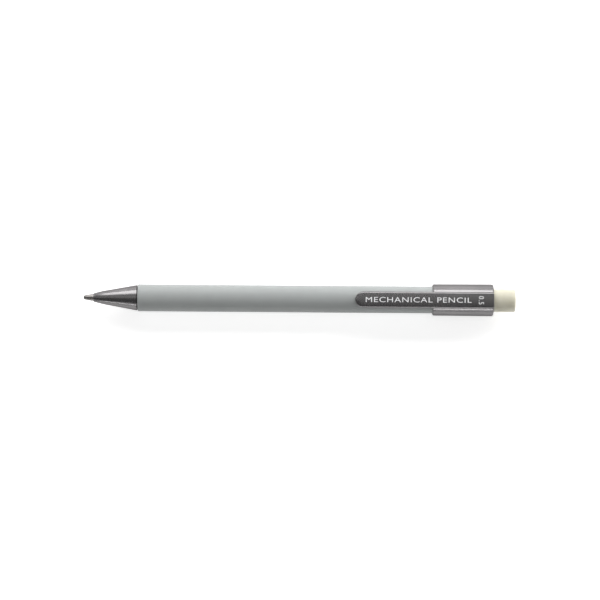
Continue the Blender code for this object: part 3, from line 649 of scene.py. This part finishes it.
flute_rows = np.linspace(cup_front + 0.45, cup_rear - 0.5, 24)
holder = turned("eraser_holder_cup", np.concatenate([
    np.stack([flute_rows, np.full_like(flute_rows, cup_r)], axis=1),
    eased([
        (cup_rear, cup_r, 0.12),
        (cup_rear, CUP_BORE, 0.15),
        (cup_front + CUP_FLOOR, CUP_BORE),
        (cup_front + CUP_FLOOR, LOADING_HOLE + 0.6, 0.1),
        (cup_front, LOADING_HOLE, 0.2),
        (plug_front, LOADING_HOLE, 0.1),
        (plug_front, PLUG_R - 0.3, 0.08),
        (plug_front + 0.3, PLUG_R, 0.08),
        (cup_front, PLUG_R, 0.03),
        (cup_front, cup_r - 0.3, 0.08),
        (cup_front + 0.3, cup_r, 0.08),
    ]),
]), dark_plastic, 128, fluting)
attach(holder, "plunger")
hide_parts("eraser_holder")

# ---------------------------------------------------------------------------------------------
# Eraser: ivory vinyl, extruded and cut, stepped down to plug into the holder. Its end is very
# slightly domed and its rim is soft from handling.
vinyl, tree, shader = node_finish("ivory_vinyl", (0.558, 0.537, 0.445), 0.62)
tint = grain(tree, 420, 4)
pores = grain(tree, 5200, 4)
spread(tree, shader, "Base Color", tint, (0.536, 0.514, 0.418), (0.58, 0.56, 0.472))
spread(tree, shader, "Roughness", pores, 0.55, 0.75)
bumps(tree, shader, (pores, 0.45, 1.6e-5), (tint, 0.25, 5e-5))
shader.inputs["Subsurface Weight"].default_value = 0.6
shader.inputs["Specular IOR Level"].default_value = 0.28
shader.inputs["Subsurface Radius"].default_value = (0.9, 0.87, 0.78)
shader.inputs["Subsurface Scale"].default_value = 0.003

eraser_front, eraser_end, eraser_r = ends("eraser")
eraser_shoulder = cup_rear + 0.05
ERASER_PLUG = 2.8
DOME_RISE = 0.1
# The dome falls from its middle by the square of the radius. It takes over from the outline's last
# corner, whose seven points are left off.
dome = np.linspace(eraser_r - 0.5, 0, 10)
eraser = turned("eraser_plug", np.concatenate([
    eased([
        (eraser_front, 0),
        (eraser_front, ERASER_PLUG - 0.3, 0.1),
        (eraser_front + 0.3, ERASER_PLUG, 0.1),
        (eraser_shoulder, ERASER_PLUG, 0.05),
        (eraser_shoulder, eraser_r, 0.12),
        (eraser_end - DOME_RISE, eraser_r, 0.42),
        (eraser_end - DOME_RISE, eraser_r - 1),
    ])[:-7],
    np.stack([eraser_end - DOME_RISE * (dome / dome[0]) ** 2, dome], axis=1),
]), vinyl, 96)
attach(eraser, "eraser")
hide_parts("eraser")

# ---------------------------------------------------------------------------------------------
# Collar and pocket clip: one ABS moulding, metallised like the cone. The collar snaps over the
# barrel; a flat rib runs along its top and goes on forward as the clip's springy arm.
collar_front, collar_rear, collar_r = ends("clip_collar")
clip_end = station(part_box("pocket_clip")[0].x)
INK_ROOM = 0.03
RIB_TOP = (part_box("pocket_clip")[1].z - axis_height) / MM - INK_ROOM
HALF_WIDTH = (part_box("pocket_clip")[1].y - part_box("pocket_clip")[0].y) / 2 / MM
ARM_UNDER, EDGE, CROWN = 5.2, 0.35, 0.12
BEVEL_FROM, BEVEL_SLOPE = 2.22, 0.65
COLLAR_TAPER, FRONT_ROUND, REAR_ROUND, RIB_SETBACK = 0.08, 0.45, 0.6, 0.12
FILLET = 0.16
KNIT_AT, KNIT_WIDTH, KNIT_DEPTH, KNIT_LEAN = 123.2, 0.5, 0.022, 1.4
flat_end = math.atan((HALF_WIDTH - EDGE) / RIB_TOP)
side_start = math.atan(HALF_WIDTH / (RIB_TOP - EDGE))
arm_corner = math.atan(HALF_WIDTH / ARM_UNDER)
rib_foot = math.radians(31)
foot_end = math.radians(34)
# The turns of the section's points, closest together where the section bends most.
half_turn = np.concatenate([
    np.linspace(0, flat_end - 0.006, 12),
    np.linspace(flat_end, side_start, 9),
    np.linspace(side_start + 0.006, arm_corner, 5),
    np.linspace(arm_corner, foot_end, 14)[1:],
    np.linspace(foot_end, math.pi, 64)[1:],
])
turn_at = np.concatenate([-half_turn[::-1][:-1], half_turn[:-1]])[None, :]


def smooth_step(value, start, end):
    """0 before start, 1 after end, and 3t^2 - 2t^3 between."""
    t = np.clip((value - start) / (end - start), 0, 1)
    return t * t * (3 - 2 * t)


def rib_radius(turn):
    """Distance from the axis to a bar with a flat top, upright sides and round upper edges: the
    top's height over the cosine, the half width over the sine, or where the ray meets the edge."""
    turn = np.abs(turn)
    sine, cosine = np.sin(turn), np.cos(turn)
    edge_y, edge_z = HALF_WIDTH - EDGE, RIB_TOP - EDGE
    across = sine * edge_y + cosine * edge_z
    beyond = np.maximum(across**2 - edge_y**2 - edge_z**2 + EDGE**2, 0)
    over_side = np.where(turn < math.pi / 2, HALF_WIDTH / np.maximum(sine, 1e-6), 0)
    over_side = np.where(turn < side_start, across + np.sqrt(beyond), over_side)
    return np.where(turn < flat_end, RIB_TOP / np.maximum(cosine, 0.1), over_side)


def moulded_radius(x, turn):
    """The greater of the collar's and the rib's radius, rounded where the two are nearly equal."""
    round_part = collar_r - COLLAR_TAPER * (collar_rear - x) / (collar_rear - collar_front)
    bar = rib_radius(turn) + 0 * x
    share = np.clip(0.5 + 0.5 * (bar - round_part) / FILLET, 0, 1)
    return share * bar + (1 - share) * round_part + FILLET * share * (1 - share)


def knit_line(x, turn):
    """The shallow line on each side where the moulding's two flows met: a bell curve of the
    station, leaning with the turn, that fades below the collar's flank."""
    across = (x - KNIT_AT - KNIT_LEAN * (np.abs(turn) - 0.75)) / KNIT_WIDTH
    beside_rib = smooth_step(np.abs(turn), rib_foot - 0.04, rib_foot + 0.1)
    above_flank = 1 - smooth_step(np.abs(turn), 1.1, 1.5)
    return KNIT_DEPTH * beside_rib * above_flank * np.exp(-across**2)


def off_axis(x, radius, turn):
    """Points in millimetres from station, radius and turn. The rib's top falls from its middle by
    a parabola, and from the bevel outwards by its slope."""
    y, z = radius * np.sin(turn), radius * np.cos(turn)
    fall = CROWN * (y / HALF_WIDTH) ** 2 + BEVEL_SLOPE * np.maximum(np.abs(y) - BEVEL_FROM, 0)
    lowered = z - fall * smooth_step(z, ARM_UNDER + 0.3, RIB_TOP - 0.4)
    return np.stack([x + 0 * y, y + 0 * x, lowered], axis=-1)


front_round = FRONT_ROUND * smooth_step(np.abs(turn_at), arm_corner, rib_foot)
rear_round = EDGE + (REAR_ROUND - EDGE) * smooth_step(np.abs(turn_at), side_start, rib_foot)
rear_at = collar_rear - RIB_SETBACK * (1 - smooth_step(np.abs(turn_at), side_start, rib_foot))
sweep = np.linspace(0, math.pi / 2, 9)[:, None]
length_rows = np.unique(np.concatenate([
    np.linspace(collar_front + 0.55, collar_rear - 0.8, 30),
    np.linspace(KNIT_AT - 2.6, KNIT_AT + 2.6, 48),
]))[:, None]
front_x = collar_front + front_round * (1 - np.sin(sweep[::-1]))
rear_x = rear_at - rear_round * (1 - np.sin(sweep))
front_r = moulded_radius(front_x, turn_at) - front_round * (1 - np.cos(sweep[::-1]))
length_r = moulded_radius(length_rows, turn_at) - knit_line(length_rows, turn_at)
rear_r = moulded_radius(rear_x, turn_at) - rear_round * (1 - np.cos(sweep))
outside = [
    off_axis(front_x, front_r, turn_at),
    off_axis(length_rows, length_r, turn_at),
    off_axis(rear_x, rear_r, turn_at),
]
COLLAR_BORE, REAR_BORE, BORE_STEP = 4.5, 3.95, 123.6
SNAP_FRONT, SNAP_REAR, SNAP_R = 118.2, 118.8, 4.4
# The first and last corners lie on the end faces, and only their inner halves are used.
bore = eased([
    (collar_rear, 4.6, 0.05),
    (collar_rear, REAR_BORE, 0.15),
    (BORE_STEP, REAR_BORE, 0.1),
    (BORE_STEP, COLLAR_BORE, 0.05),
    (SNAP_REAR, COLLAR_BORE, 0.03),
    (SNAP_REAR, SNAP_R, 0.03),
    (SNAP_FRONT, SNAP_R, 0.03),
    (SNAP_FRONT, COLLAR_BORE, 0.03),
    (collar_front, COLLAR_BORE, 0.15),
    (collar_front, 4.8, 0.05),
])[3:-3]
lining = np.stack([
    bore[:, :1] + 0 * turn_at, bore[:, 1:] * np.sin(turn_at), bore[:, 1:] * np.cos(turn_at),
], axis=-1)
under_arm = np.abs(turn_at) <= arm_corner + 1e-9
face_radius = np.where(
    under_arm, ARM_UNDER / np.cos(np.minimum(np.abs(turn_at), arm_corner)),
    moulded_radius(collar_front + 0 * turn_at, turn_at) - front_round,
)
face = np.stack([
    collar_front + 0 * turn_at, face_radius * np.sin(turn_at), face_radius * np.cos(turn_at),
], axis=-1)
face = np.where(under_arm[..., None], face, outside[0][:1])
collar_skin = np.concatenate([*outside, lining, face])

nose_centre = clip_end + HALF_WIDTH
NOSE_ROLL, NOSE_DROP, NOSE_UNDER, NOSE_LIFT = 1.35, 0.8, 0.8, 0.3
GRIP_AT, GRIP_RADIUS, GRIP_DEPTH, GRIP_HALF = clip_end + 3.6, 1.5, 0.6, 1.6
arm_x = np.concatenate([
    np.linspace(collar_front, GRIP_AT + 2, 44),
    np.linspace(GRIP_AT + 1.9, nose_centre, 30)[:-1],
    nose_centre - HALF_WIDTH * np.sin(np.linspace(0, math.pi / 2, 30)),
])[:, None]
# The arm is as wide as the rib up to the nose, and there it narrows as a half circle does.
into_nose = np.minimum(arm_x - nose_centre, 0)
arm_half = np.sqrt(np.maximum(HALF_WIDTH**2 - into_nose**2, 0))
arm_turn = half_turn[half_turn <= arm_corner + 1e-9]
arm_turn = np.concatenate([-arm_turn[::-1][:-1], arm_turn])[None, :]


def nose_fall(x, y, width, depth):
    """How far the surface has fallen at the arm's free end: a quarter round of this width inside
    the end's half circle, strongest straight ahead and nothing at the sides."""
    reach = np.hypot(np.minimum(x - nose_centre, 0), y) + 1e-9
    ahead = (np.minimum(x - nose_centre, 0) / reach) ** 2
    into = np.clip(1 - (HALF_WIDTH - reach) / width, 0, 1) * (x < nose_centre)
    return depth * ahead * (1 - np.sqrt(1 - into**2))


section = off_axis(0.0, rib_radius(arm_turn), arm_turn)
share_up = (section[..., 2] - ARM_UNDER) / (RIB_TOP - ARM_UNDER)
upper_y = section[..., 1] * arm_half / HALF_WIDTH
upper_low = ARM_UNDER + nose_fall(arm_x, upper_y, NOSE_UNDER, NOSE_LIFT)
upper_high = RIB_TOP - nose_fall(arm_x, upper_y, NOSE_ROLL, NOSE_DROP)
upper_z = upper_low + share_up * (upper_high - upper_low)
upper = np.stack([arm_x + 0 * upper_y, upper_y, upper_z], axis=-1)
lower_turn = arm_turn[:, -2:0:-1]
lower_y = ARM_UNDER * np.tan(lower_turn) * arm_half / HALF_WIDTH
grip = np.sqrt(np.maximum(GRIP_RADIUS**2 - (arm_x - GRIP_AT) ** 2, 0)) - (GRIP_RADIUS - GRIP_DEPTH)
grip = np.maximum(grip, 0) * (1 - smooth_step(np.abs(lower_y), GRIP_HALF - 0.1, GRIP_HALF + 0.2))
lower_z = ARM_UNDER + nose_fall(arm_x, lower_y, NOSE_UNDER, NOSE_LIFT) - grip
lower = np.stack([arm_x + 0 * lower_y, lower_y, lower_z], axis=-1)
arm_skin = np.concatenate([upper, lower], axis=1)

collar_rows, collar_columns = collar_skin.shape[:2]
arm_rows, arm_columns = arm_skin.shape[:2]
arm_faces = np.array(quads(arm_rows, arm_columns, False, True)) + collar_rows * collar_columns
moulding_mm = np.concatenate([collar_skin.reshape(-1, 3), arm_skin.reshape(-1, 3)])
moulding = as_piece(
    "clip_and_collar",
    np.array([mouth, 0, axis_height]) + MM * moulding_mm,
    quads(collar_rows, collar_columns, False, True) + arm_faces.tolist(),
    metallised,
)
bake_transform(moulding)
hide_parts("clip_collar", "pocket_clip")

# ---------------------------------------------------------------------------------------------
# Print on the clip: pad-printed pale grey ink, thinner than a hair. It says in plain letters what
# the thing is, and across the rear end it gives the lead's size.
ink, tree, shader = node_finish("pale_ink", (0.72, 0.72, 0.73), 0.5)
ink_film = grain(tree, 5000, 3)
spread(tree, shader, "Base Color", ink_film, (0.74, 0.74, 0.75), (0.86, 0.86, 0.87))
spread(tree, shader, "Roughness", ink_film, 0.4, 0.6)
bumps(tree, shader, (ink_film, 0.3, 4e-6))
HALF_INK = 0.012

for name, words, first, last, height, upright in (
    ("print_words", "MECHANICAL PENCIL", 92.6, 127.2, 1.7, True),
    ("print_lead_size", "0.5", 129.5, 131.2, 2.7, False),
):
    # The letters' outlines are laid on the crowned top: their own width and height become
    # station and side, and the ink's top and bottom stand just over and under the surface.
    letters = bpy.data.curves.new(name, "FONT")
    letters.body = words
    letters.space_character = 1.12
    letters.resolution_u = 4
    letters.extrude = 0.01
    lettering = bpy.data.objects.new(name + "_outline", letters)
    bpy.context.scene.collection.objects.link(lettering)
    bpy.context.view_layer.update()
    evaluated = lettering.evaluated_get(bpy.context.evaluated_depsgraph_get())
    flat = bpy.data.meshes.new_from_object(evaluated)
    drawn = np.empty(len(flat.vertices) * 3)
    flat.vertices.foreach_get("co", drawn)
    drawn = drawn.reshape(-1, 3)
    low, high = drawn.min(axis=0), drawn.max(axis=0)
    unit = (drawn - low) / (high - low)
    if upright:
        along, side = first + (last - first) * unit[:, 0], height * (unit[:, 1] - 0.5)
    else:
        along, side = first + (last - first) * unit[:, 1], height * (0.5 - unit[:, 0])
    up = RIB_TOP - CROWN * (side / HALF_WIDTH) ** 2 + HALF_INK * (2 * unit[:, 2] - 1)
    placed = np.stack([mouth + MM * along, MM * side, axis_height + MM * up], axis=1)
    corners = [list(polygon.vertices) for polygon in flat.polygons]
    bpy.data.objects.remove(lettering)
    bpy.data.meshes.remove(flat)
    printed = as_piece(name, placed, corners, ink)
    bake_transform(printed)

# ---------------------------------------------------------------------------------------------
# Studio: a white glowing table, a long soft light on each side of the pencil, and a dull sky with
# a bright band overhead along the pencil. The camera looks straight down on the clip.
white, tree, shader = node_finish("white_table", (0.85, 0.85, 0.85), 0.7)
paper = grain(tree, 60, 3)
spread(tree, shader, "Base Color", paper, (0.84, 0.84, 0.84), (0.86, 0.86, 0.86))
shader.inputs["Emission Color"].default_value = (1, 1, 1, 1)
# The table glows a little more on the +Y side of the pencil: the glow rises evenly across a
# hand's breadth.
glow_place = tree.nodes.new("ShaderNodeTexCoord")
glow_split = tree.nodes.new("ShaderNodeSeparateXYZ")
glow = tree.nodes.new("ShaderNodeMapRange")
for end, value in (
    ("From Min", -0.04), ("From Max", 0.04), ("To Min", 0.53), ("To Max", 0.74),
):
    glow.inputs[end].default_value = value
tree.links.new(glow_place.outputs["Object"], glow_split.inputs["Vector"])
tree.links.new(glow_split.outputs["Y"], glow.inputs["Value"])
tree.links.new(glow.outputs["Result"], shader.inputs["Emission Strength"])
TABLE_HALF, TABLE_GAP = 3.0, 2e-5
edge = np.array([-TABLE_HALF, TABLE_HALF])
table_points = np.stack(np.meshgrid(edge, edge, [-TABLE_GAP], indexing="ij"), axis=-1)
table_mesh = bpy.data.meshes.new("table")
table_mesh.from_pydata(table_points.reshape(-1, 3).tolist(), [], [(0, 2, 3, 1)])
table_mesh.materials.append(white)
table = bpy.data.objects.new("table", table_mesh)
bpy.context.scene.collection.objects.link(table)

LIGHT_LENGTH, LIGHT_AWAY, LIGHT_ALONG = 1.4, 0.6, 0.34
for name, toward, elevation, radiance, high in (
    ("light_upper", 1, 30, 4.45, 0.42),
    ("light_lower", -1, 19, 6.2, 0.07),
):
    lamp = bpy.data.lights.new(name, "AREA")
    lamp.shape = "RECTANGLE"
    lamp.size, lamp.size_y = LIGHT_LENGTH, high
    lamp.energy = radiance * math.pi * LIGHT_LENGTH * high
    light = bpy.data.objects.new(name, lamp)
    bpy.context.scene.collection.objects.link(light)
    rise = math.radians(elevation)
    across = toward * LIGHT_AWAY * math.cos(rise)
    light.location = (LIGHT_ALONG, across, LIGHT_AWAY * math.sin(rise))
    light.rotation_euler = (toward * (rise - math.pi / 2), 0, 0)
    light.visible_camera = False

world = bpy.data.worlds.new("studio")
bpy.context.scene.world = world
world.use_nodes = True
tree = world.node_tree
sky_place = tree.nodes.new("ShaderNodeTexCoord")
sky_split = tree.nodes.new("ShaderNodeSeparateXYZ")
tree.links.new(sky_place.outputs["Generated"], sky_split.inputs["Vector"])
sky = tree.nodes.new("ShaderNodeValToRGB")
SKY = ((0.0, 0.14), (0.4, 0.13), (0.5, 0.36), (0.57, 0.84), (0.66, 0.36), (1.0, 0.18))
for place, _ in SKY[1:-1]:
    sky.color_ramp.elements.new(place)
for stop, (place, level) in zip(sky.color_ramp.elements, SKY):
    stop.position = place
    stop.color = (level, level, level, 1)
sky_side = tree.nodes.new("ShaderNodeMapRange")
sky_side.inputs["From Min"].default_value = -1
tree.links.new(sky_split.outputs["Y"], sky_side.inputs["Value"])
tree.links.new(sky_side.outputs["Result"], sky.inputs["Fac"])
tree.links.new(sky.outputs["Color"], tree.nodes["Background"].inputs["Color"])

# A long lens from far off, so that the pencil shows hardly any perspective. It stands a touch off
# the middle and is turned a little, because the pencil doesn't lie quite square.
CAMERA_X, CAMERA_Y, CAMERA_RISE, CAMERA_TURN = 0.00016, -0.00034, 0.7406, math.radians(0.42)
camera = bpy.data.objects.new("camera", bpy.data.cameras.new("camera"))
bpy.context.scene.collection.objects.link(camera)
camera.data.lens = 135
camera.data.sensor_width = 36
camera.data.clip_start = 0.01
camera.location = (CAMERA_X, CAMERA_Y, axis_height + CAMERA_RISE)
camera.rotation_euler = (0, 0, CAMERA_TURN)
bpy.context.scene.camera = camera
bpy.context.scene.view_settings.view_transform = "Standard"
